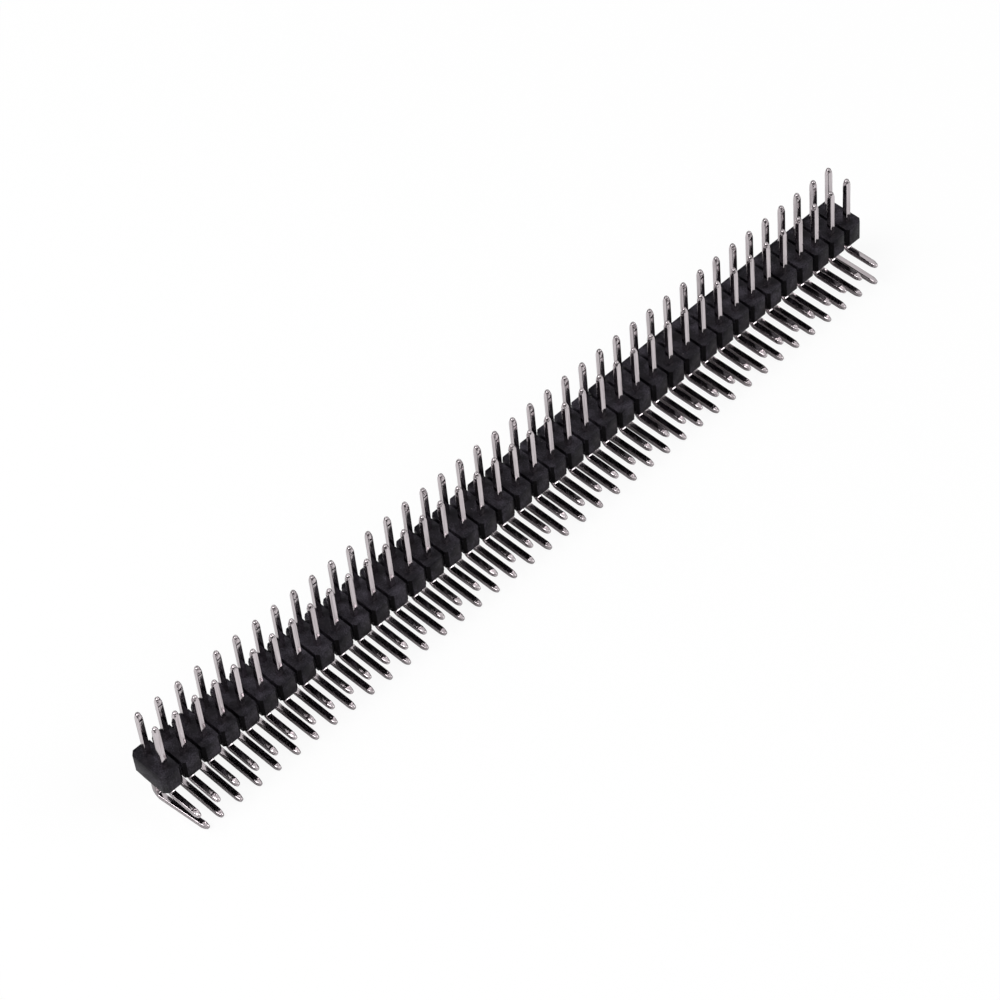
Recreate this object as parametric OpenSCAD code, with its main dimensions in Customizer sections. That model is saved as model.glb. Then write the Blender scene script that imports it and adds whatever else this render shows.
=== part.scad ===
// Right-angle pin header strip, two rows of square pins in a moulded insulator.
// The mating legs point up (+Z), the solder tails point to +X and the columns run along Y.
// Origin: middle of the outer box, at the height where the long tails lie on a surface.

/* [Strip] */
// Number of columns, each with one short and one long pin
columns = 40; // [2:1:50]
// Distance between neighbouring columns
column_pitch = 2.54; // [2.2:0.01:4]
// Distance between the two rows of mating legs
row_pitch = 2.54; // [2.2:0.01:3]
// Distance between the short tails and the long tails below them
tail_pitch = 2.54; // [1.5:0.01:5]

/* [Insulator] */
// Width of the insulator, across the rows
insulator_w = 5; // [4.8:0.05:7]
// Thickness of the insulator, along the mating legs
insulator_t = 2.5; // [1.5:0.05:8]
// Chamfer on the upright corners of every cell
corner_cut = 0.45; // [0.1:0.05:0.7]
// Width of the snap groove between two cells
groove_w = 0.3; // [0.1:0.05:0.6]
// Depth of the snap groove, from the top and from the underside
groove_depth = 0.6; // [0.1:0.05:0.7]
// Gap around a pin in its hole, none where the pins are pressed in
hole_clearance = 0; // [0:0.01:0.05]

/* [Pins] */
// Side of the square wire
wire_w = 0.64; // [0.4:0.01:0.8]
// Length of a mating leg above the insulator
mating_length = 6.2; // [3:0.1:15]
// Drop from the insulator's underside to the middle of the short tails
short_drop = 1.65; // [1.3:0.05:6]
// Length of the tails beyond the insulator's side
tail_reach = 3.2; // [2:0.1:10]
// Inside radius of the bends
bend_r = 0.35; // [0.1:0.05:0.7]
// Length of the coined taper at each end of a pin
taper_length = 0.8; // [0.3:0.1:1.5]
// Side of the small flat at each end of a pin
point_w = 0.4; // [0.1:0.02:0.4]

/* [Hidden] */
$fn = 48;
pins_per_node = 2;

strip_length = columns * column_pitch;

// Heights, from the underside of the long tails
long_tail_z = wire_w / 2;
short_tail_z = long_tail_z + tail_pitch;
insulator_bottom_z = short_tail_z + short_drop;
insulator_top_z = insulator_bottom_z + insulator_t;
leg_tip_z = insulator_top_z + mating_length;

// Places across the strip, with the outer box centred on the origin
insulator_x = -tail_reach / 2;
short_row_x = insulator_x + row_pitch / 2;
long_row_x = insulator_x - row_pitch / 2;
tail_tip_x = insulator_x + insulator_w / 2 + tail_reach;

function column_y(column) = (column - (columns + 1) / 2) * column_pitch;
function two_digits(number) = str(number < 10 ? "0" : "", number);
function last_in_node(first) = min(first + pins_per_node - 1, columns);
function pins_name(row, first) =
    str(row, "_pins_", two_digits(first), "_", two_digits(last_in_node(first)));

FIRST_COLUMNS = [1 : pins_per_node : columns];

// One long side of the insulator seen from above, from the -Y end to the +Y end.
// side is 1 for the +X side and -1 for the -X side.
function insulator_side(side) = concat(
    [[side * (insulator_w / 2 - corner_cut), -strip_length / 2]],
    [for (column = [1 : columns], corner = cell_side(side, column_y(column))) corner]
);

// The side of one cell: its face between two chamfers, then the root of the next notch
function cell_side(side, y) = [
    [side * insulator_w / 2, y - column_pitch / 2 + corner_cut],
    [side * insulator_w / 2, y + column_pitch / 2 - corner_cut],
    [side * (insulator_w / 2 - corner_cut), y + column_pitch / 2]
];

function reversed(points) = [for (i = [len(points) - 1 : -1 : 0]) points[i]];

module insulator_outline() {
    polygon(concat(insulator_side(1), reversed(insulator_side(-1))));
}

module pin_holes() {
    hole_w = wire_w + 2 * hole_clearance;
    for (column = [1 : columns], side = [-1, 1])
        translate([side * row_pitch / 2, column_y(column)])
            square(hole_w, center = true);
}

module snap_groove() {
    cube([insulator_w, groove_w, 2 * groove_depth], center = true);
}

module insulator() {
    color("#232122")
    translate([insulator_x, 0, insulator_bottom_z])
    difference() {
        linear_extrude(insulator_t)
            difference() {
                insulator_outline();
                pin_holes();
            }
        for (column = [1 : columns - 1], z = [0, insulator_t])
            translate([0, column_y(column) + column_pitch / 2, z])
                snap_groove();
    }
}

// Flat outline of a straight bar with a tapered end, from the origin along the second axis
module bar_outline(length) {
    polygon([
        [-wire_w / 2, 0],
        [wire_w / 2, 0],
        [wire_w / 2, length - taper_length],
        [point_w / 2, length],
        [-point_w / 2, length],
        [-wire_w / 2, length - taper_length]
    ]);
}

// Square bar from the origin up, tapered on all four sides at its end
module pointed_bar(length) {
    intersection() {
        rotate([90, 0, 0])
            linear_extrude(wire_w, center = true) bar_outline(length);
        rotate([90, 0, 90])
            linear_extrude(wire_w, center = true) bar_outline(length);
    }
}

// Bent pin: a leg up at leg_x and a tail along +X at tail_z
module bent_pin(leg_x, tail_z) {
    bend_x = leg_x + wire_w / 2 + bend_r;
    bend_z = tail_z + wire_w / 2 + bend_r;
    translate([leg_x, 0, bend_z])
        pointed_bar(leg_tip_z - bend_z);
    translate([bend_x, 0, bend_z])
        rotate([90, 0, 0])
            rotate([0, 0, 180])
                rotate_extrude(angle = 90)
                    translate([bend_r, -wire_w / 2])
                        square(wire_w);
    translate([bend_x, 0, tail_z])
        rotate([0, 90, 0])
            pointed_bar(tail_tip_x - bend_x);
}

module pin_group(first, leg_x, tail_z) {
    color("#c8c3c5")
    for (column = [first : last_in_node(first)])
        translate([0, column_y(column), 0])
            bent_pin(leg_x, tail_z);
}

// Pins of the row beside the tails, which bend close under the insulator
module short_pins(first) {
    pin_group(first, short_row_x, short_tail_z);
}

// Pins of the far row, which reach down past the short tails before they bend
module long_pins(first) {
    pin_group(first, long_row_x, long_tail_z);
}

insulator();
for (first = FIRST_COLUMNS) {
    short_pins(first);
    long_pins(first);
}
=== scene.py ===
"""Looks of a right-angle pin header strip: a moulded black insulator and two rows of plated pins.

The strip lies on its long solder tails on a pale studio floor, mating legs up. Every size and
place is in metres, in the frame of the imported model. The insulator and the pin rows are rebuilt
over their plain solids with the rounded edges, coined ends and skin of the real pieces.
"""

import logging
import math
import random
from collections.abc import Iterator, Mapping, Sequence
from dataclasses import dataclass, field
from enum import Enum
from typing import Any

import bmesh
import bpy
from mathutils import Matrix, Vector


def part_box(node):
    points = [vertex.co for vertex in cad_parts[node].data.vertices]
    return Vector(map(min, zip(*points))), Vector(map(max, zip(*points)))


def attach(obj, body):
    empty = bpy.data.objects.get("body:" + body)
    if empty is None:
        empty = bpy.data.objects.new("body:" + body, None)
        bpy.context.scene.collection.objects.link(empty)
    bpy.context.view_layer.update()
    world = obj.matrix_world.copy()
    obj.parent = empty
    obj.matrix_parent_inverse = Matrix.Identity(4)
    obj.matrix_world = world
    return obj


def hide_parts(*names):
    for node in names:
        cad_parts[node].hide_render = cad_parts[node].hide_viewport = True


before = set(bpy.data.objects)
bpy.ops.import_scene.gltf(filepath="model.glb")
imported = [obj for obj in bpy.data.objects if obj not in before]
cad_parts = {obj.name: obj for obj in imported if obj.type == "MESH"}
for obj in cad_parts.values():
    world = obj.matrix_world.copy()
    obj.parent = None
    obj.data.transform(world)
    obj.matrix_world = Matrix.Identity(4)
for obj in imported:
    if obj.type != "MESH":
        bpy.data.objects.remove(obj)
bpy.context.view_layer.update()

LOG = logging.getLogger("pin_header")

MM = 0.001
BODY = "root"
# The grid that headers of this kind are made on, both ways
GRID_PITCH = 2.54 * MM

# Nodes that are used over and over
ATTRIBUTE = "GeometryNodeInputNamedAttribute"
BUMP = "ShaderNodeBump"
MATH = "ShaderNodeMath"
MIX = "ShaderNodeMix"
NOISE = "ShaderNodeTexNoise"
POSITION = "GeometryNodeInputPosition"
RAMP = "ShaderNodeMapRange"
SEPARATE = "ShaderNodeSeparateXYZ"
STORE = "GeometryNodeStoreNamedAttribute"
VECTOR_MATH = "ShaderNodeVectorMath"

# Values that a noise keeps between, apart from rare ones
NOISE_SPAN = (0.3, 0.7)

Point = tuple[float, float]
Span = tuple[float, float]
# A socket, or a node, which stands for its first output in use
Source = bpy.types.NodeSocket | bpy.types.Node
# Values and sources for a node's inputs: by name, or in order for the first ones in use
Inputs = Sequence[Any] | Mapping[str, Any]


def linear(hex_colour: str) -> tuple[float, float, float, float]:
    """Turns an sRGB hex colour into the linear colour that shaders use.

    Args:
        hex_colour: Six hex digits after a hash sign, such as "#c8bec3".

    Returns:
        Red, green and blue in linear light, and an alpha of 1.
    """
    channels = [int(hex_colour[i : i + 2], 16) / 255 for i in (1, 3, 5)]
    # The sRGB curve: a straight foot near black, then a power
    light = [c / 12.92 if c <= 0.04045 else ((c + 0.055) / 1.055) ** 2.4 for c in channels]
    return (light[0], light[1], light[2], 1.0)


WHITE = linear("#ffffff")


def add_node(
    tree: bpy.types.NodeTree, kind: str, inputs: Inputs = (), **settings: Any
) -> bpy.types.Node:
    """Adds a node with its settings, values and links.

    Args:
        tree: The tree that gets the node.
        kind: The node's type, such as "ShaderNodeBump".
        inputs: Values and sources for its inputs.
        **settings: The node's own properties.

    Returns:
        The new node.
    """
    node = tree.nodes.new(kind)
    for name, value in settings.items():
        setattr(node, name, value)
    in_use = [socket for socket in node.inputs if socket.enabled]
    by_name = {socket.name: socket for socket in reversed(in_use)}
    for key, value in inputs.items() if isinstance(inputs, Mapping) else enumerate(inputs):
        socket = by_name[key] if isinstance(key, str) else in_use[key]
        if isinstance(value, bpy.types.Node):
            value = next(output for output in value.outputs if output.enabled)
        if isinstance(value, bpy.types.NodeSocket):
            tree.links.new(value, socket)
        else:
            socket.default_value = value
    return node


def add_object(name: str, data: bpy.types.ID) -> bpy.types.Object:
    """Adds an object to the scene.

    Args:
        name: The object's name.
        data: Its mesh, lamp or camera.

    Returns:
        The object, at the origin.
    """
    added = bpy.data.objects.new(name, data)
    bpy.context.scene.collection.objects.link(added)
    return added


def bake_modifiers(piece: bpy.types.Object) -> None:
    """Replaces a piece's mesh by what its modifiers make of it, and removes them.

    Args:
        piece: The piece, which keeps its name and place.
    """
    depsgraph = bpy.context.evaluated_depsgraph_get()
    evaluated = piece.evaluated_get(depsgraph)
    mesh = bpy.data.meshes.new_from_object(
        evaluated, preserve_all_data_layers=True, depsgraph=depsgraph
    )
    mesh.name = piece.name
    piece.modifiers.clear()
    piece.data = mesh


def welded_mesh(name: str, work: bmesh.types.BMesh, weld: float) -> bpy.types.Mesh:
    """Turns faces into a mesh with shared corners welded, and frees their working copy.

    Args:
        name: The mesh's name.
        work: The faces.
        weld: Corners closer than this become one.

    Returns:
        The mesh, its faces wound as given.
    """
    bmesh.ops.remove_doubles(work, verts=work.verts, dist=weld)
    mesh = bpy.data.meshes.new(name)
    work.to_mesh(mesh)
    work.free()
    return mesh


def mesh_from_faces(name: str, faces: list[list[Vector]], weld: float) -> bpy.types.Mesh:
    """Makes a mesh from faces given by their corners.

    Args:
        name: The mesh's name.
        faces: The corners of each face.
        weld: Corners closer than this become one.

    Returns:
        The mesh, its faces wound as given.
    """
    work = bmesh.new()
    for corners in faces:
        work.faces.new([work.verts.new(corner) for corner in corners])
    return welded_mesh(name, work, weld)


class SocketKind(Enum):
    """Kinds of input that a modifier's tree has here."""

    GEOMETRY = "NodeSocketGeometry"
    NUMBER = "NodeSocketFloat"
    COUNT = "NodeSocketInt"
    PLACE = "NodeSocketVector"
    MATERIAL = "NodeSocketMaterial"


class StripTree:
    """A geometry node tree that sets copies of a unit along the strip, one grid step apart."""

    def __init__(self, name: str, numbers: Sequence[str] = (), counts: Sequence[str] = ()) -> None:
        """Starts the tree with its named inputs.

        Args:
            name: The tree's name.
            numbers: Names of the inputs that only this tree has and that take a number.
            counts: Names of those that take a whole number.
        """
        self.tree = bpy.data.node_groups.new(name, "GeometryNodeTree")
        inputs = {
            SocketKind.GEOMETRY: ("Geometry",),
            SocketKind.COUNT: ("Count", *counts),
            SocketKind.PLACE: ("First place", "Step"),
            SocketKind.MATERIAL: ("Material",),
            SocketKind.NUMBER: numbers,
        }
        new_socket = self.tree.interface.new_socket
        self.identifiers = {
            title: new_socket(title, in_out="INPUT", socket_type=kind.value).identifier
            for kind, titles in inputs.items()
            for title in titles
        }
        new_socket("Geometry", in_out="OUTPUT", socket_type=SocketKind.GEOMETRY.value)
        self.group_input = self.add("NodeGroupInput")

    def add(self, kind: str, inputs: Inputs = (), **settings: Any) -> bpy.types.Node:
        """Adds a node to this tree, as add_node does."""
        return add_node(self.tree, kind, inputs, **settings)

    def given(self, title: str) -> bpy.types.NodeSocket:
        """Finds the socket that hands out a named input."""
        return self.group_input.outputs[title]

    def copies(self, unit: Source) -> bpy.types.Node:
        """Sets copies of a unit along the strip.

        Args:
            unit: The geometry to copy.

        Returns:
            The node that hands out the copies, as instances.
        """
        line = (self.given("Count"), self.given("First place"), self.given("Step"))
        places = self.add("GeometryNodeMeshLine", line)
        return self.add("GeometryNodeInstanceOnPoints", {"Points": places, "Instance": unit})

    def finish(self, geometry: Source) -> None:
        """Ends the tree: instances become real and the material is set.

        Args:
            geometry: The geometry to hand out.
        """
        real = self.add("GeometryNodeRealizeInstances", {"Geometry": geometry})
        dress = {"Geometry": real, "Material": self.given("Material")}
        self.add("NodeGroupOutput", {"Geometry": self.add("GeometryNodeSetMaterial", dress)})

    def run(
        self, name: str, unit: bpy.types.Mesh, first_y: float, values: Mapping[str, Any]
    ) -> bpy.types.Object:
        """Runs the tree on a unit that is modelled around the origin along Y.

        Args:
            name: The new object's name.
            unit: The mesh that goes in.
            first_y: Place of the first copy along the strip.
            values: A value for each other named input.

        Returns:
            An object at the origin with the finished plain mesh and no modifier.
        """
        piece = add_object(name, unit)
        modifier = piece.modifiers.new(self.tree.name, "NODES")
        modifier.node_group = self.tree
        places = {"First place": (0.0, first_y, 0.0), "Step": (0.0, GRID_PITCH, 0.0)}
        for title, value in {**places, **values}.items():
            modifier[self.identifiers[title]] = value
        bake_modifiers(piece)
        return piece


def add_finish(name: str) -> tuple[bpy.types.Material, bpy.types.NodeTree]:
    """Starts a material with an empty node tree.

    Args:
        name: The finish's name.

    Returns:
        The material and its node tree.
    """
    material = bpy.data.materials.new(name)
    material.use_nodes = True
    material.node_tree.nodes.clear()
    return material, material.node_tree


@dataclass(frozen=True)
class TinPlatedWire:
    """Square brass wire under bright tin: nearly a mirror, a little wavy, with faint die lines."""

    colour: str = "#cac2c5"
    line_colour: str = "#a0989b"
    roughness_low: float = 0.05
    roughness_high: float = 0.13
    # Lines that the drawing die leaves: their spacing across the wire, how many times as long they
    # are, their height, and the noise values between which their colour comes in
    die_line: float = 0.13 * MM
    line_stretch: float = 25.0
    line_height: float = 0.0002 * MM
    line_span: Span = (0.42, 0.75)
    # Length and height of the waves in the wire's faces
    wave: float = 0.9 * MM
    wave_height: float = 0.008 * MM
    # Each pin starts this much further along the pattern than the last, so that no two are alike
    pin_shift: float = 15.57 * MM
    # Dents that the coining dies leave at both ends: how far they reach, their spacing and depth
    dented_length: float = 1.0 * MM
    dent: float = 0.25 * MM
    dent_depth: float = 0.05 * MM

    def material(self) -> bpy.types.Material:
        """Builds the finish.

        Returns:
            The material, which reads the wire's own across, along, length and column attributes.
        """
        material, tree = add_finish("bright_tin_plated_brass")
        across, along, length, column = (
            add_node(tree, "ShaderNodeAttribute", attribute_name=name).outputs[output]
            for name, output in (
                ("wire_across", "Vector"),
                ("wire_along", "Fac"),
                ("wire_length", "Fac"),
                ("column", "Fac"),
            )
        )
        place = add_node(tree, MATH, (column, self.pin_shift, along), operation="MULTIPLY_ADD")
        run = add_node(tree, "ShaderNodeCombineXYZ", {"Z": place})
        wire = add_node(tree, VECTOR_MATH, (across, run), operation="ADD")
        per_line = 1 / self.die_line
        scale = (per_line, per_line, per_line / self.line_stretch)
        stretched = add_node(tree, "ShaderNodeMapping", {"Vector": wire, "Scale": scale})
        lines = add_node(tree, NOISE, {"Vector": stretched, "Scale": 1.0, "Detail": 3.0})
        waves = add_node(tree, NOISE, {"Vector": wire, "Scale": 1 / self.wave, "Detail": 1.0})
        dents = self.dents(tree, wire, along, length)
        share = add_node(tree, RAMP, (lines, *self.line_span))
        colours = (share, linear(self.colour), linear(self.line_colour))
        tint = add_node(tree, MIX, colours, data_type="RGBA")
        between = (lines, *NOISE_SPAN, self.roughness_low, self.roughness_high)
        roughness = add_node(tree, RAMP, between)
        relief: dict[str, Any] = {}
        for height, depth in (
            (waves, self.wave_height),
            (dents, self.dent_depth),
            (lines, self.line_height),
        ):
            bump = add_node(tree, BUMP, {"Height": height, "Distance": depth, **relief})
            relief = {"Normal": bump}
        look = {"Base Color": tint, "Metallic": 1.0, "Roughness": roughness, **relief}
        shader = add_node(tree, "ShaderNodeBsdfPrincipled", look)
        add_node(tree, "ShaderNodeOutputMaterial", {"Surface": shader})
        return material

    def dents(
        self, tree: bpy.types.NodeTree, wire: Source, along: Source, length: Source
    ) -> bpy.types.Node:
        """Works out the height of the dents at each place on the wire.

        Args:
            tree: The finish's node tree.
            wire: The place in the wire's own pattern.
            along: The distance from the leg's tip.
            length: The length of the whole wire.

        Returns:
            The node of the height, from 0 to 1, which fades to 0 away from both ends.
        """
        left = add_node(tree, MATH, (length, along), operation="SUBTRACT")
        to_end = add_node(tree, MATH, (along, left), operation="MINIMUM")
        fading = (to_end, self.dented_length / 2, self.dented_length, 1.0, 0.0)
        share = add_node(tree, RAMP, fading)
        pattern = add_node(tree, NOISE, {"Vector": wire, "Scale": 1 / self.dent, "Detail": 0.0})
        return add_node(tree, MATH, (pattern, share), operation="MULTIPLY")


@dataclass(frozen=True)
class MouldedBlack:
    """Glass-filled black polyester, moulded: near black and satin, finely grained, a bit dusty."""

    name: str = "moulded_black_polyester"
    colour: str = "#050408"
    pale_colour: str = "#4a464f"
    dust_colour: str = "#7d7977"
    roughness_low: float = 0.42
    roughness_high: float = 0.58
    specular_level: float = 0.18
    # Carbon black leaves the skin's sheen a little violet
    sheen_tint: str = "#fbf5ff"
    # Grain that the mould's spark-eroded walls leave on the skin, drawn about twice as coarse so
    # that it shows
    grain: float = 0.14 * MM
    grain_height: float = 0.016 * MM
    # Cloudy flow patches, smaller than a cell
    flow_patch: float = 1.6 * MM
    # Sums of grain and flow patch between which glass fibres near the skin make it pale
    pale_span: Span = (0.95, 1.45)
    # Specks of dust: the distance between them, the radius of the largest as a share of it, and
    # the power of a random number that makes large ones rare
    dust_spacing: float = 0.6 * MM
    dust_radius: float = 0.16
    dust_rarity: float = 3.0
    # The dusty stretch of the strip: its middle, and how far it thins out both ways
    dust_middle: float = 10.0 * MM
    dust_reach: float = 32.0 * MM

    def material(self) -> bpy.types.Material:
        """Builds the finish.

        Returns:
            The material, with patterns in millimetres on the piece's own coordinates.
        """
        material, tree = add_finish(self.name)
        place = add_node(tree, "ShaderNodeTexCoord").outputs["Object"]
        grained = {"Vector": place, "Scale": 1 / self.grain, "Detail": 3.0, "Roughness": 0.6}
        grain = add_node(tree, NOISE, grained)
        flow = add_node(tree, NOISE, {"Vector": place, "Scale": 1 / self.flow_patch, "Detail": 4.0})
        # The fibres make fine pale grains, more of them in the flow patches
        fibres = add_node(tree, MATH, (grain, flow), operation="ADD")
        paleness = add_node(tree, RAMP, (fibres, *self.pale_span))
        colours = (paleness, linear(self.colour), linear(self.pale_colour))
        skin = add_node(tree, MIX, colours, data_type="RGBA")
        dusty = (self.dust(tree, place), skin, linear(self.dust_colour))
        between = (flow, *NOISE_SPAN, self.roughness_low, self.roughness_high)
        look = {
            "Base Color": add_node(tree, MIX, dusty, data_type="RGBA"),
            "Roughness": add_node(tree, RAMP, between),
            "Specular IOR Level": self.specular_level,
            "Specular Tint": linear(self.sheen_tint),
            "Normal": add_node(tree, BUMP, {"Height": grain, "Distance": self.grain_height}),
        }
        shader = add_node(tree, "ShaderNodeBsdfPrincipled", look)
        add_node(tree, "ShaderNodeOutputMaterial", {"Surface": shader})
        return material

    def dust(self, tree: bpy.types.NodeTree, place: Source) -> bpy.types.Node:
        """Scatters specks of dust of random size, which thin out away from the dusty stretch.

        Args:
            tree: The finish's node tree.
            place: The place on the piece.

        Returns:
            The node that is 1 on a speck and 0 beside it.
        """
        cells = {"Vector": place, "Scale": 1 / self.dust_spacing}
        specks = add_node(tree, "ShaderNodeTexVoronoi", cells)
        along = add_node(tree, SEPARATE, (place,)).outputs["Y"]
        offset = add_node(tree, MATH, (along, self.dust_middle), operation="SUBTRACT")
        away = add_node(tree, MATH, (offset,), operation="ABSOLUTE")
        largest = add_node(tree, RAMP, (away, 0.0, self.dust_reach, self.dust_radius, 0.0))
        draw = specks.outputs["Color"]
        chance = add_node(tree, MATH, (draw, self.dust_rarity), operation="POWER")
        radius = add_node(tree, MATH, (largest, chance), operation="MULTIPLY")
        return add_node(tree, MATH, (specks, radius), operation="LESS_THAN")


@dataclass(frozen=True)
class StudioWhite:
    """White paper under the strip, which shows as white and still holds a soft shadow."""

    colour: str = "#f7f7f7"
    # Share of plain white in what the camera sees; mirrors show the paper as it is lit
    camera_share: float = 0.9
    # Mirrors see the paper bright up to a painted dim edge around the strip: half the bright
    # place's size, the width of the soft edge, and how dark it is beyond
    bright_half: Point = (27.0 * MM, 76.0 * MM)
    edge_soft: float = 8.0 * MM
    dim_share: float = 0.85
    # They see it darker under the strip too: a painted shadow, on top of the soft one that the
    # lamps cast there
    painted_shadow_half: Point = (4.3 * MM, 51.5 * MM)
    painted_shadow_soft: float = 0.6 * MM
    painted_shadow_share: float = 0.38

    def material(self) -> bpy.types.Material:
        """Builds the finish.

        Returns:
            The material: lit paper, mixed with plain white for the camera.
        """
        material, tree = add_finish("white_studio_paper")
        rays = add_node(tree, "ShaderNodeLightPath").outputs
        paper = add_node(tree, "ShaderNodeBsdfDiffuse", {"Color": linear(self.colour)})
        dark = add_node(tree, "ShaderNodeEmission", {"Strength": 0.0})
        lit = (self.painted_mirror_dimming(tree, rays["Is Glossy Ray"]), paper, dark)
        white = add_node(tree, "ShaderNodeEmission", {"Color": WHITE})
        shared = (rays["Is Camera Ray"], self.camera_share)
        share = add_node(tree, MATH, shared, operation="MULTIPLY")
        seen = (share, add_node(tree, "ShaderNodeMixShader", lit), white)
        shader = add_node(tree, "ShaderNodeMixShader", seen)
        add_node(tree, "ShaderNodeOutputMaterial", {"Surface": shader})
        return material

    def painted_mirror_dimming(self, tree: bpy.types.NodeTree, mirrored: Source) -> bpy.types.Node:
        """Works out the painted darkening that the paper shows in a mirror, by its place.

        Args:
            tree: The finish's node tree.
            mirrored: The socket that is 1 for a ray from a mirror.

        Returns:
            The node of the share that is dark.
        """
        place = add_node(tree, "ShaderNodeTexCoord").outputs["Object"]
        axes = add_node(tree, SEPARATE, (place,))
        # Past the bright place, mirrors see a painted dark reflection
        away = self.outside(tree, axes, self.bright_half, self.edge_soft)
        edge = add_node(tree, MATH, (away, self.dim_share), operation="MULTIPLY")
        # The painted shadow under the strip, which only mirrors see
        beside = self.outside(tree, axes, self.painted_shadow_half, self.painted_shadow_soft)
        painted_shadow = add_node(tree, RAMP, (beside, 0.0, 1.0, self.painted_shadow_share, 0.0))
        darker = add_node(tree, MATH, (edge, painted_shadow), operation="MAXIMUM")
        return add_node(tree, MATH, (darker, mirrored), operation="MULTIPLY")

    def outside(
        self, tree: bpy.types.NodeTree, axes: bpy.types.Node, half: Point, soft: float
    ) -> bpy.types.Node:
        """Tells which places lie outside a rectangle around the middle.

        Args:
            tree: The finish's node tree.
            axes: The node that gives the place, axis by axis.
            half: Half the rectangle's size along X and Y.
            soft: Width of its soft edge.

        Returns:
            The node that is 0 inside, 1 outside and between them over the soft edge.
        """
        ramps = []
        for axis, reach in zip("XY", half):
            distance = add_node(tree, MATH, (axes.outputs[axis],), operation="ABSOLUTE")
            ramps.append(add_node(tree, RAMP, (distance, reach, reach + soft)))
        return add_node(tree, MATH, ramps, operation="MAXIMUM")


@dataclass(frozen=True)
class StripLayout:
    """Places that both the insulator and the pins keep to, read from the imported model."""

    insulator_low: Vector
    insulator_high: Vector
    columns: int

    @classmethod
    def from_frame(cls) -> "StripLayout":
        """Reads the insulator's box, which holds one column for each grid step."""
        low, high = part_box("insulator")
        return cls(low, high, round((high.y - low.y) / GRID_PITCH))

    @property
    def middle_x(self) -> float:
        """The insulator's middle across the rows."""
        return (self.insulator_low.x + self.insulator_high.x) / 2

    @property
    def first_column_y(self) -> float:
        """The middle of the first column."""
        return self.insulator_low.y + GRID_PITCH / 2


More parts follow.
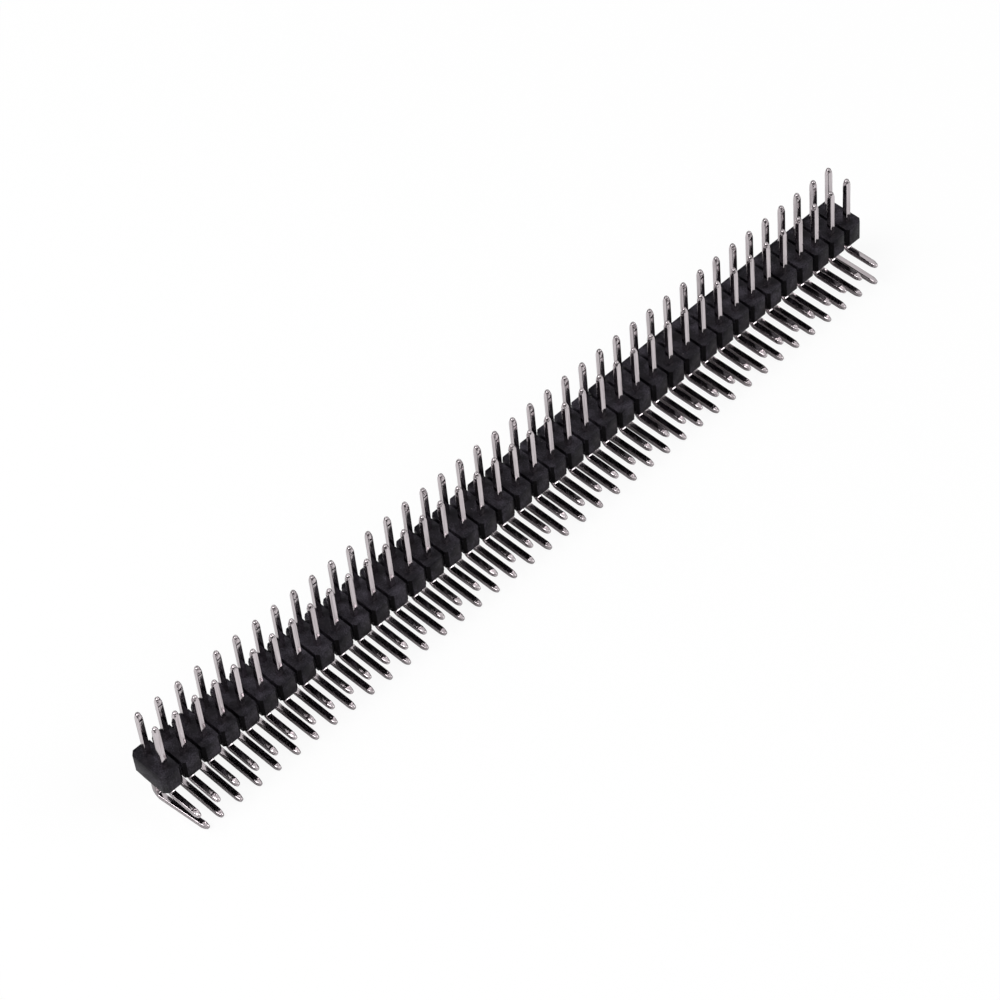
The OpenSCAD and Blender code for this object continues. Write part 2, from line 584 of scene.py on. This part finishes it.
@dataclass
class Insulator:
    """The moulded strip: cells with chamfered corners, joined by webs that a snap groove thins."""

    layout: StripLayout
    corner_cut: float = 0.45 * MM
    groove_w: float = 0.3 * MM
    groove_depth: float = 0.6 * MM
    # Narrower than the wire, which presses its way in
    hole_side: float = 0.54 * MM
    # Edges that turn by more than this many degrees are rounded
    sharp_angle: float = 30.0
    edge_round: float = 0.035 * MM
    edge_steps: int = 2
    # The lower edge of the -Y end, where the web tore as the strip was snapped off: places along
    # it, how far they stray as a share of the distance between them, and depth
    torn_places: int = 9
    torn_stray: float = 0.3
    torn_depth: float = 0.3 * MM
    torn_seed: int = 5
    weld: float = 0.001 * MM
    finish: MouldedBlack = field(default_factory=MouldedBlack)
    # The notch walls get a darker, duller copy of the skin, which paints the shade in the notches
    painted_notch_shade: MouldedBlack = MouldedBlack(
        name="notch_walls_painted_shade",
        colour="#070607",
        pale_colour="#19171a",
        roughness_low=0.7,
        roughness_high=0.8,
        specular_level=0.06,
    )
    # A wall with a normal that leans at least this much both to X and to Y is a notch's
    notch_lean: float = 0.5

    def __post_init__(self) -> None:
        """Works out the lines that the cell's faces share."""
        low, high = self.layout.insulator_low, self.layout.insulator_high
        self.side = (high.x - low.x) / 2
        self.bottom, self.top = low.z, high.z
        # Half the cell between two grooves, and half the width there and at the root of the notch
        self.cell_end = (GRID_PITCH - self.groove_w) / 2
        self.root = self.side - self.corner_cut
        self.neck = self.root + self.groove_w / 2
        self.face_end = GRID_PITCH / 2 - self.corner_cut
        half = self.hole_side / 2
        self.holes = [(x - half, x + half) for x in (-GRID_PITCH / 2, GRID_PITCH / 2)]

    def end_line(self) -> list[float]:
        """The places across the strip where a cell's end edge has a corner."""
        return [-self.neck, *(x for hole in self.holes for x in hole), self.neck]

    def levels(self) -> list[float]:
        """The heights where a cell's end has a corner, from the underside up."""
        groove = self.groove_depth
        return [self.bottom, self.bottom + groove, self.top - groove, self.top]

    def cell_plan(self) -> list[list[Point]]:
        """Divides the cell's top around its two holes.

        Returns:
            Outlines seen from above, anticlockwise: both sides, the lands beside each hole and the
            middle.
        """
        half = self.hole_side / 2
        end = self.cell_end
        (a0, a1), (b0, b1) = self.holes
        outlines = []
        for sign, outer in ((-1, a0), (1, b1)):
            face = [(self.side, -self.face_end), (self.side, self.face_end), (self.neck, end)]
            inward = [(sign * outer, y) for y in (end, half, -half, -end)]
            outline = [*face, *inward, (self.neck, -end)]
            outlines.append([(sign * x, sign * y) for x, y in outline])
        for x0, x1 in self.holes:
            outlines.append([(x0, half), (x1, half), (x1, end), (x0, end)])
            outlines.append([(x0, -end), (x1, -end), (x1, -half), (x0, -half)])
        beside_b = [(b0, y) for y in (-end, -half, half, end)]
        beside_a = [(a1, y) for y in (end, half, -half, -end)]
        outlines.append(beside_b + beside_a)
        return outlines

    def caps(self, outlines: list[list[Point]], low: float, high: float) -> Iterator[list[Vector]]:
        """Sets flat faces at two heights, the upper ones facing up and the lower ones down.

        Args:
            outlines: The faces seen from above, anticlockwise.
            low: Height of the faces that face down.
            high: Height of the faces that face up.

        Yields:
            The corners of each face.
        """
        for outline in outlines:
            yield [Vector((x, y, high)) for x, y in outline]
            yield [Vector((x, y, low)) for x, y in reversed(outline)]

    def walls(self, edges: list[Point], heights: list[list[float]]) -> list[list[Vector]]:
        """Makes an upright face from each upright edge to the next.

        Args:
            edges: The edges seen from above, in order from left to right for a viewer outside.
            heights: The heights at which each edge has a corner, from below.

        Returns:
            The corners of each face.
        """
        faces = []
        for i in range(len(edges) - 1):
            left = [Vector((*edges[i], z)) for z in reversed(heights[i])]
            right = [Vector((*edges[i + 1], z)) for z in heights[i + 1]]
            faces.append(right + left)
        return faces

    def cell_unit(self) -> bpy.types.Mesh:
        """Models one cell between two grooves, open at both ends.

        Returns:
            The cell, around the strip's middle line.
        """
        faces = list(self.caps(self.cell_plan(), self.bottom, self.top))
        ends, levels = [self.bottom, self.top], self.levels()
        side = [
            (self.neck, -self.cell_end),
            (self.side, -self.face_end),
            (self.side, self.face_end),
            (self.neck, self.cell_end),
        ]
        for sign in (-1, 1):
            edges = [(sign * x, sign * y) for x, y in side]
            faces += self.walls(edges, [levels, ends, ends, levels])
        half = self.hole_side / 2
        for x0, x1 in self.holes:
            ring = [(x0, -half), (x0, half), (x1, half), (x1, -half), (x0, -half)]
            faces += self.walls(ring, [ends] * len(ring))
        return mesh_from_faces("cell_unit", faces, self.weld)

    def web_unit(self) -> bpy.types.Mesh:
        """Models the thin web between two cells, with the walls of the grooves over and under it.

        Returns:
            The web, open towards both cells.
        """
        half = self.groove_w / 2
        low, high = self.levels()[1:3]
        side = [(self.neck, -half), (self.root, 0.0), (self.neck, half)]
        other_side = [(-x, -y) for x, y in side]
        faces = list(self.caps([side + other_side], low, high))
        for sign, edges in ((1, side), (-1, other_side)):
            faces += self.walls(edges, [[low, high]] * len(edges))
            # Groove walls, which face the middle of the web
            for outer, inner in ((self.top, high), (self.bottom, low)):
                edge = [Vector((x, sign * half, outer)) for x in self.end_line()]
                foot = [Vector((x, sign * half, inner)) for x in (self.neck, -self.neck)]
                outline = edge + foot
                faces.append(outline if (sign > 0) == (outer > inner) else outline[::-1])
        return mesh_from_faces("web_unit", faces, self.weld)

    def torn_edge(self, y: float) -> list[Vector]:
        """Draws the torn lower edge of an end face, between its corners.

        Args:
            y: Place of the end face along the strip.

        Returns:
            The points of the edge towards +X, each a little above the underside.
        """
        chance = random.Random(self.torn_seed)
        step = 2 * self.root / (self.torn_places + 1)
        stray = self.torn_stray
        steps = [i + 1 + chance.uniform(-stray, stray) for i in range(self.torn_places)]
        lifts = [self.torn_depth * chance.random() for _ in steps]
        return [
            Vector((step * count - self.root, y, self.bottom + lift))
            for count, lift in zip(steps, lifts)
        ]

    def end_unit(self) -> bpy.types.Mesh:
        """Models half a web of full height with a plain face, which closes each end of the strip.

        Returns:
            Both ends as one mesh, open towards the cells.
        """
        ends, levels = [self.bottom, self.top], self.levels()
        faces = []
        for sign, y in ((-1, self.layout.insulator_low.y), (1, self.layout.insulator_high.y)):
            inner = y - sign * self.groove_w / 2
            torn = self.torn_edge(y) if sign < 0 else []
            outline = [*((x, inner) for x in self.end_line()), (self.root, y), (-self.root, y)]
            top, floor = (
                [Vector((*place, z)) for place in outline] for z in (self.top, self.bottom)
            )
            floor[-1:-1] = reversed(torn)
            faces.append(top if sign > 0 else top[::-1])
            faces.append(floor[::-1] if sign > 0 else floor)
            side = [(self.neck, inner), (self.root, y), (-self.root, y), (-self.neck, inner)]
            edges = [(sign * x, place) for x, place in side]
            walls = self.walls(edges, [levels, ends, ends, levels])
            walls[1] += torn
            faces += walls
        return mesh_from_faces("end_unit", faces, self.weld)

    def is_notch_wall(self, face: bpy.types.MeshPolygon) -> bool:
        """Tells whether a face of the finished strip slants as a notch's walls do."""
        slants = min(abs(face.normal.x), abs(face.normal.y)) > self.notch_lean
        return slants and abs(face.center.y) < self.layout.insulator_high.y - self.corner_cut

    def build(self) -> bpy.types.Object:
        """Sets the units along the strip, welds them and rounds the edges.

        Returns:
            The finished insulator.
        """
        tree = StripTree("copies_along_strip")
        tree.finish(tree.copies(tree.given("Geometry")))
        material = self.finish.material()
        first = self.layout.first_column_y
        columns = self.layout.columns
        work = bmesh.new()
        for name, unit, count, place in (
            ("cells", self.cell_unit(), columns, first),
            ("webs", self.web_unit(), columns - 1, first + GRID_PITCH / 2),
            ("ends", self.end_unit(), 1, 0.0),
        ):
            part = tree.run(name, unit, place, {"Count": count, "Material": material})
            work.from_mesh(part.data)
            bpy.data.objects.remove(part)
        mesh = welded_mesh("insulator_moulding", work, self.weld)
        mesh.transform(Matrix.Translation((self.layout.middle_x, 0.0, 0.0)))
        mesh.materials.append(material)
        piece = add_object("insulator_moulding", mesh)
        bevel = piece.modifiers.new("rounded_edges", "BEVEL")
        bevel.width = self.edge_round
        bevel.segments = self.edge_steps
        bevel.limit_method = "ANGLE"
        bevel.angle_limit = math.radians(self.sharp_angle)
        piece.modifiers.new("flat_faces", "WEIGHTED_NORMAL")
        bake_modifiers(piece)
        piece.data.shade_smooth()
        # The slanting notch walls take that darker copy, which is painted shade
        piece.data.materials.append(self.painted_notch_shade.material())
        for face in piece.data.polygons:
            face.material_index = int(self.is_notch_wall(face))
        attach(piece, BODY)
        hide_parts("insulator")
        return piece


class Row(Enum):
    """The two rows of pins, by where their tails run."""

    SHORT = "short_pins"
    LONG = "long_pins"


class PinTree(StripTree):
    """The tree that sweeps square wire along a bent path and sets one pin in each column."""

    # A section is coined where its half width is below this share of the wire's
    COINED_SHARE = 0.9999
    # Step that clears rounding from a section's coordinates before their signs are read
    SIGN_STEP = MM / 100

    def __init__(self) -> None:
        """Builds the tree with its named inputs."""
        numbers = (
            "Wire side",
            "Edge radius",
            "Taper length",
            "Point side",
            "Nose radius",
            "Leg foot",
            "Leg tip",
            "Tail root",
            "Tail tip",
            "Leg lean",
            "Tail sway",
            "Bent tail sway",
        )
        super().__init__("bent_wire_pins", numbers, ("Edge steps", "Bent column", "Seed"))
        pins = self.vary(self.numbered(self.coined(self.swept())))
        self.finish(self.add("GeometryNodeSetShadeSmooth", {"Geometry": pins}))

    def swept(self) -> bpy.types.Node:
        """Sweeps the rounded square along the path.

        Returns:
            The node of one pin, full width to its ends, with its across and along attributes.
        """
        path = self.add("GeometryNodeMeshToCurve", {"Mesh": self.given("Geometry")})
        for name, value, data_type in (
            ("wire_along", self.add("GeometryNodeSplineParameter").outputs["Length"], "FLOAT"),
            ("wire_length", self.add("GeometryNodeSplineLength"), "FLOAT"),
            ("spine", self.add(POSITION), "FLOAT_VECTOR"),
        ):
            kept = {"Geometry": path, "Name": name, "Value": value}
            path = self.add(STORE, kept, data_type=data_type)
        side = self.given("Wire side")
        square = self.add("GeometryNodeCurvePrimitiveQuadrilateral", (side, side))
        rounding = (square, self.given("Edge steps"), self.given("Edge radius"))
        rounded = self.add("GeometryNodeFilletCurve", rounding, mode="POLY")
        across = {"Geometry": rounded, "Name": "wire_across", "Value": self.add(POSITION)}
        section = self.add(STORE, across, data_type="FLOAT_VECTOR")
        sweep = {"Curve": path, "Profile Curve": section, "Fill Caps": True}
        return self.add("GeometryNodeCurveToMesh", sweep)

    def end_sizes(self, full_half: Source) -> tuple[bpy.types.Node, bpy.types.Node]:
        """Works out half the wire's width and its edge radius at each place along a pin.

        Args:
            full_half: Half the width away from the ends.

        Returns:
            Two nodes. Both keep their value along the wire. Over the coined taper they meet, so
            that the section turns into a disc, and over the nose they fall together.
        """
        along = self.add(ATTRIBUTE, {"Name": "wire_along"}, data_type="FLOAT")
        length = self.add(ATTRIBUTE, {"Name": "wire_length"}, data_type="FLOAT")
        to_far_end = self.add(MATH, (length, along), operation="SUBTRACT")
        to_end = self.add(MATH, (along, to_far_end), operation="MINIMUM")
        point = self.add(MATH, (self.given("Point side"), 2.0), operation="DIVIDE")
        # A parabola takes the faces in, steepest at the end: its share is t (2 - t)
        share = self.add(RAMP, (to_end, 0.0, self.given("Taper length")))
        left = self.add(MATH, (2.0, share), operation="SUBTRACT")
        eased = self.add(MATH, (share, left), operation="MULTIPLY")
        sizes = []
        for full in (full_half, self.given("Edge radius")):
            gain = self.add(MATH, (full, point), operation="SUBTRACT")
            sizes.append(self.add(MATH, (eased, gain, point), operation="MULTIPLY_ADD"))
        # A quarter circle takes the nose in: at distance d it is r - sqrt(r^2 - (r - d)^2)
        nose = self.given("Nose radius")
        depth = self.add(MATH, (nose, to_end), operation="SUBTRACT")
        inside = self.add(MATH, (depth, 0.0), operation="MAXIMUM")
        squares = [self.add(MATH, (side, side), operation="MULTIPLY") for side in (nose, inside)]
        rise = self.add(MATH, (self.add(MATH, squares, operation="SUBTRACT"),), operation="SQRT")
        taken = self.add(MATH, (nose, rise), operation="SUBTRACT")
        half = self.add(MATH, (sizes[0], taken), operation="SUBTRACT")
        return half, self.add(MATH, (sizes[1], half), operation="MINIMUM")

    def coined(self, wire: Source) -> bpy.types.Node:
        """Tapers both ends of the swept wire, which run along an axis, from square to small disc.

        Args:
            wire: The swept wire.

        Returns:
            The node of the wire with its points coined.
        """
        radius = self.given("Edge radius")
        full_half = self.add(MATH, (self.given("Wire side"), 2.0), operation="DIVIDE")
        half, edge = self.end_sizes(full_half)
        spine = self.add(ATTRIBUTE, {"Name": "spine"}, data_type="FLOAT_VECTOR")
        offset = self.add(VECTOR_MATH, (self.add(POSITION), spine), operation="SUBTRACT")
        stepped = self.add(VECTOR_MATH, (offset, (self.SIGN_STEP,) * 3), operation="SNAP")
        corner = self.add(VECTOR_MATH, (stepped,), operation="SIGN")
        # The middle of the corner's arc, before and after, and the arc itself around it
        middles = []
        for reach in ((full_half, radius), (half, edge)):
            straight = self.add(MATH, reach, operation="SUBTRACT")
            middles.append(self.add(VECTOR_MATH, (corner, straight), operation="SCALE"))
        arc = self.add(VECTOR_MATH, (offset, middles[0]), operation="SUBTRACT")
        ratio = self.add(MATH, (edge, radius), operation="DIVIDE")
        new_arc = self.add(VECTOR_MATH, (arc, ratio), operation="SCALE")
        new_offset = self.add(VECTOR_MATH, (middles[1], new_arc), operation="ADD")
        moved = self.add(VECTOR_MATH, (new_offset, offset), operation="SUBTRACT")
        limit = self.add(MATH, (full_half, self.COINED_SHARE), operation="MULTIPLY")
        is_end = self.add(MATH, (half, limit), operation="LESS_THAN")
        move = {"Geometry": wire, "Selection": is_end, "Offset": moved}
        return self.add("GeometryNodeSetPosition", move)

    def numbered(self, pin: Source) -> bpy.types.Node:
        """Sets one pin in each column and numbers them.

        Args:
            pin: The geometry of one pin.

        Returns:
            The node of all the pins, each with its column number.
        """
        number = self.add("GeometryNodeInputIndex")
        kept = {"Geometry": self.copies(pin), "Name": "column", "Value": number}
        pins = self.add(STORE, kept, data_type="INT", domain="INSTANCE")
        return self.add("GeometryNodeRealizeInstances", {"Geometry": pins})

    def vary(self, pins: Source) -> bpy.types.Node:
        """Leans each leg and sways each tail a little, and one tail more.

        Args:
            pins: The geometry of all the pins.

        Returns:
            The node of the pins, each settled in its own way.
        """
        column = self.add(ATTRIBUTE, {"Name": "column"}, data_type="INT")
        limits = {"Min": (-1.0,) * 3, "Max": (1.0,) * 3, "ID": column, "Seed": self.given("Seed")}
        chance = self.add("FunctionNodeRandomValue", limits, data_type="FLOAT_VECTOR")
        draws = self.add(SEPARATE, (chance,)).outputs
        place = self.add(SEPARATE, (self.add(POSITION),)).outputs
        up_leg = self.add(RAMP, (place["Z"], self.given("Leg foot"), self.given("Leg tip")))
        lean = self.add(MATH, (up_leg, self.given("Leg lean")), operation="MULTIPLY")
        lean_x, lean_y = (
            self.add(MATH, (lean, draws[axis]), operation="MULTIPLY") for axis in "XY"
        )
        sway = self.add(MATH, (draws["Z"], self.given("Tail sway")), operation="MULTIPLY")
        numbers = (column, self.given("Bent column"))
        is_bent = self.add("FunctionNodeCompare", numbers, data_type="INT", operation="EQUAL")
        bent = self.add(MATH, (is_bent, self.given("Bent tail sway")), operation="MULTIPLY")
        swayed = self.add(MATH, (sway, bent), operation="ADD")
        on_tail = self.add(RAMP, (place["X"], self.given("Tail root"), self.given("Tail tip")))
        move_y = self.add(MATH, (on_tail, swayed, lean_y), operation="MULTIPLY_ADD")
        offset = self.add("ShaderNodeCombineXYZ", {"X": lean_x, "Y": move_y})
        return self.add("GeometryNodeSetPosition", {"Geometry": pins, "Offset": offset})


@dataclass
class PinRow:
    """One row of bent pins: mating legs up through the insulator, solder tails out at one side."""

    row: Row
    layout: StripLayout
    # Seed of the legs' lean and the tails' sway
    seed: int
    wire: float = 0.64 * MM
    edge_radius: float = 0.09 * MM
    edge_steps: int = 3
    bend_inside: float = 0.35 * MM
    bend_steps: int = 12
    taper_length: float = 0.8 * MM
    taper_steps: int = 7
    # Width of the blunt end, and the radius of its rim
    point_side: float = 0.42 * MM
    nose_radius: float = 0.06 * MM
    nose_steps: int = 4
    # The most that a leg leans and a tail sways at its tip
    leg_lean: float = 0.03 * MM
    tail_sway: float = 0.05 * MM
    # The column of the tail that was knocked to the side, and how far its tip went
    bent_column: int = 0
    bent_tail_sway: float = 0.0

    def end_stations(self) -> list[float]:
        """Spaces the sections that shape a pin's end.

        Returns:
            Their distances from the end, from the end inwards.
        """
        turn = math.pi / 2 / self.nose_steps
        nose = [self.nose_radius * (1 - math.cos(turn * i)) for i in range(self.nose_steps + 1)]
        step = (self.taper_length - self.nose_radius) / self.taper_steps
        return [*nose, *(self.nose_radius + step * (i + 1) for i in range(self.taper_steps))]

    def path(self, low: Vector, high: Vector) -> list[Vector]:
        """Draws the wire's middle line, from the leg's tip down and round the bend to the tail's.

        Args:
            low: The lowest corner of one pin's box.
            high: The highest corner of one pin's box.

        Returns:
            The points of the line, in the plane of the pin.
        """
        leg_x = low.x + self.wire / 2
        tail_z = low.z + self.wire / 2
        radius = self.bend_inside + self.wire / 2
        centre = Vector((leg_x + radius, 0.0, tail_z + radius))
        leg = [Vector((leg_x, 0.0, high.z - s)) for s in self.end_stations()]
        turns = [math.pi / 2 / self.bend_steps * i for i in range(self.bend_steps + 1)]
        bend = [centre - radius * Vector((math.cos(t), 0.0, math.sin(t))) for t in turns]
        tail = [Vector((high.x - s, 0.0, tail_z)) for s in reversed(self.end_stations())]
        return leg + bend + tail

    def path_mesh(self, points: list[Vector]) -> bpy.types.Mesh:
        """Turns the line's points into a mesh.

        Args:
            points: The points, in order.

        Returns:
            A mesh with an edge from each point to the next.
        """
        mesh = bpy.data.meshes.new(self.row.value + "_path")
        mesh.from_pydata(points, [(i, i + 1) for i in range(len(points) - 1)], [])
        return mesh

    def build(self, tree: PinTree, material: bpy.types.Material) -> bpy.types.Object:
        """Sweeps and repeats the pins of this row.

        Args:
            tree: The tree that makes bent pins.
            material: Their finish.

        Returns:
            The row as one plain mesh.
        """
        nodes = sorted(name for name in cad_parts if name.startswith(self.row.value))
        low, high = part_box(nodes[0])
        values = {
            "Count": self.layout.columns,
            "Material": material,
            "Wire side": self.wire,
            "Edge radius": self.edge_radius,
            "Edge steps": self.edge_steps,
            "Taper length": self.taper_length,
            "Point side": self.point_side,
            "Nose radius": self.nose_radius,
            "Leg foot": self.layout.insulator_high.z,
            "Leg tip": high.z,
            "Tail root": self.layout.insulator_high.x - GRID_PITCH / 2,
            "Tail tip": high.x,
            "Leg lean": self.leg_lean,
            "Tail sway": self.tail_sway,
            "Bent column": self.bent_column,
            "Bent tail sway": self.bent_tail_sway,
            "Seed": self.seed,
        }
        unit = self.path_mesh(self.path(low, high))
        piece = tree.run(self.row.value + "_plated", unit, self.layout.first_column_y, values)
        piece.modifiers.new("flat_faces", "WEIGHTED_NORMAL")
        bake_modifiers(piece)
        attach(piece, BODY)
        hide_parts(*nodes)
        return piece


def view_back(azimuth: float, elevation: float) -> Vector:
    """Works out the direction from a target to a viewer.

    Args:
        azimuth: Turn around the vertical in degrees, 0 on the -Y side and growing towards +X.
        elevation: Height above the horizon in degrees.

    Returns:
        A unit vector.
    """
    turn, rise = math.radians(azimuth), math.radians(elevation)
    level = math.cos(rise)
    return Vector((math.sin(turn) * level, -math.cos(turn) * level, math.sin(rise)))


def looking_along(forward: Vector, roll: float = 0.0) -> Matrix:
    """Turns a lamp or camera to look along a direction.

    Args:
        forward: The direction of view, a unit vector.
        roll: Turn around that direction in degrees, which lowers the right side when negative.

    Returns:
        A rotation matrix.
    """
    level_right = forward.cross(Vector((0.0, 0.0, 1.0))).normalized()
    level_up = level_right.cross(forward)
    turn = math.radians(roll)
    right = math.cos(turn) * level_right + math.sin(turn) * level_up
    return Matrix((right, right.cross(forward), -forward)).transposed().to_4x4()


@dataclass(frozen=True)
class Softbox:
    """A square studio lamp that looks at the strip's middle. Its angles are in degrees."""

    name: str
    azimuth: float
    elevation: float
    power: float
    distance: float = 0.8
    side: float = 0.5

    def build(self, target: Vector) -> None:
        """Sets up the lamp.

        Args:
            target: The point that it looks at.
        """
        light = bpy.data.lights.new(self.name, "AREA")
        light.shape = "SQUARE"
        light.size = self.side
        light.energy = self.power
        lamp = add_object(self.name, light)
        back = view_back(self.azimuth, self.elevation)
        place = Matrix.Translation(target + self.distance * back)
        lamp.matrix_world = place @ looking_along(-back)


@dataclass
class Studio:
    """A white paper floor, soft lamps, a white surround and the camera."""

    floor_side: float = 3.0
    # Strength of the surround on dull surfaces, and what mirrors see of its ceiling and its room
    surround_light: float = 0.3
    ceiling_seen: float = 0.85
    horizon_seen: float = 0.06
    # Degrees above the horizon between which the dark room gives way to the white ceiling
    room_top: float = 17.0
    ceiling_bottom: float = 33.0
    # The camera's angles in degrees, and its lens in millimetres
    camera_azimuth: float = 50.33
    camera_elevation: float = 49.20
    camera_roll: float = -6.55
    camera_distance: float = 352.7 * MM
    camera_lens: float = 123.93
    # Where the middle of the view meets the insulator's top, from the strip's middle
    aim_across: float = 1.5 * MM
    aim_along: float = -3.87 * MM
    paper: StudioWhite = field(default_factory=StudioWhite)
    lamps: tuple[Softbox, ...] = (
        Softbox("end_softbox", azimuth=-25.0, elevation=56.0, power=4.8),
        Softbox("side_softbox", azimuth=132.0, elevation=40.0, power=2.3),
    )

    def build_floor(self) -> None:
        """Lays the paper at the height of the long tails' underside."""
        half = self.floor_side / 2
        plan = ((-half, -half), (half, -half), (half, half), (-half, half))
        mesh = mesh_from_faces("studio_floor", [[Vector((*corner, 0.0)) for corner in plan]], MM)
        mesh.materials.append(self.paper.material())
        add_object("studio_floor", mesh)

    def build_world(self) -> None:
        """Sets the surround: white to the camera, a white ceiling over a dark room in mirrors."""
        world = bpy.data.worlds.new("white_surround")
        world.use_nodes = True
        tree = world.node_tree
        tree.nodes.clear()
        rays = add_node(tree, "ShaderNodeLightPath").outputs
        mirrors = (rays["Is Glossy Ray"], rays["Is Transmission Ray"])
        mirrored = add_node(tree, MATH, mirrors, operation="MAXIMUM")
        direction = add_node(tree, "ShaderNodeTexCoord").outputs["Generated"]
        height = add_node(tree, SEPARATE, (direction,)).outputs["Z"]
        span = [math.sin(math.radians(angle)) for angle in (self.room_top, self.ceiling_bottom)]
        ceiling = add_node(tree, RAMP, (height, *span, self.horizon_seen, self.ceiling_seen))
        lit = add_node(tree, MIX, (mirrored, self.surround_light, ceiling))
        strength = add_node(tree, MIX, (rays["Is Camera Ray"], lit, 1.0))
        background = add_node(tree, "ShaderNodeBackground", (WHITE, strength))
        add_node(tree, "ShaderNodeOutputWorld", {"Surface": background})
        bpy.context.scene.world = world

    def build_camera(self, layout: StripLayout) -> None:
        """Sets up the camera.

        Args:
            layout: The strip's places, which the aim is measured from.
        """
        data = bpy.data.cameras.new("camera")
        data.lens = self.camera_lens
        camera = add_object("camera", data)
        back = view_back(self.camera_azimuth, self.camera_elevation)
        across = layout.middle_x + self.aim_across
        aim = Vector((across, self.aim_along, layout.insulator_high.z))
        place = Matrix.Translation(aim + self.camera_distance * back)
        camera.matrix_world = place @ looking_along(-back, self.camera_roll)
        bpy.context.scene.camera = camera

    def build(self, layout: StripLayout) -> None:
        """Sets up the whole studio around the strip.

        Args:
            layout: The strip's places, which the lamps and the camera aim at.
        """
        self.build_floor()
        self.build_world()
        target = Vector((layout.middle_x, 0.0, layout.insulator_high.z))
        for lamp in self.lamps:
            lamp.build(target)
        self.build_camera(layout)
        bpy.context.scene.view_settings.view_transform = "Standard"


def main() -> None:
    """Builds the strip and its studio."""
    logging.basicConfig(level=logging.INFO, format="%(message)s")
    layout = StripLayout.from_frame()
    insulator = Insulator(layout).build()
    LOG.info("insulator: %d faces", len(insulator.data.polygons))
    tree = PinTree()
    tin = TinPlatedWire().material()
    for row in (
        PinRow(Row.SHORT, layout, seed=11),
        PinRow(Row.LONG, layout, seed=23, bent_tail_sway=0.65 * MM),
    ):
        piece = row.build(tree, tin)
        LOG.info("%s: %d faces", row.row.value, len(piece.data.polygons))
    Studio().build(layout)


if __name__ == "__main__":
    main()
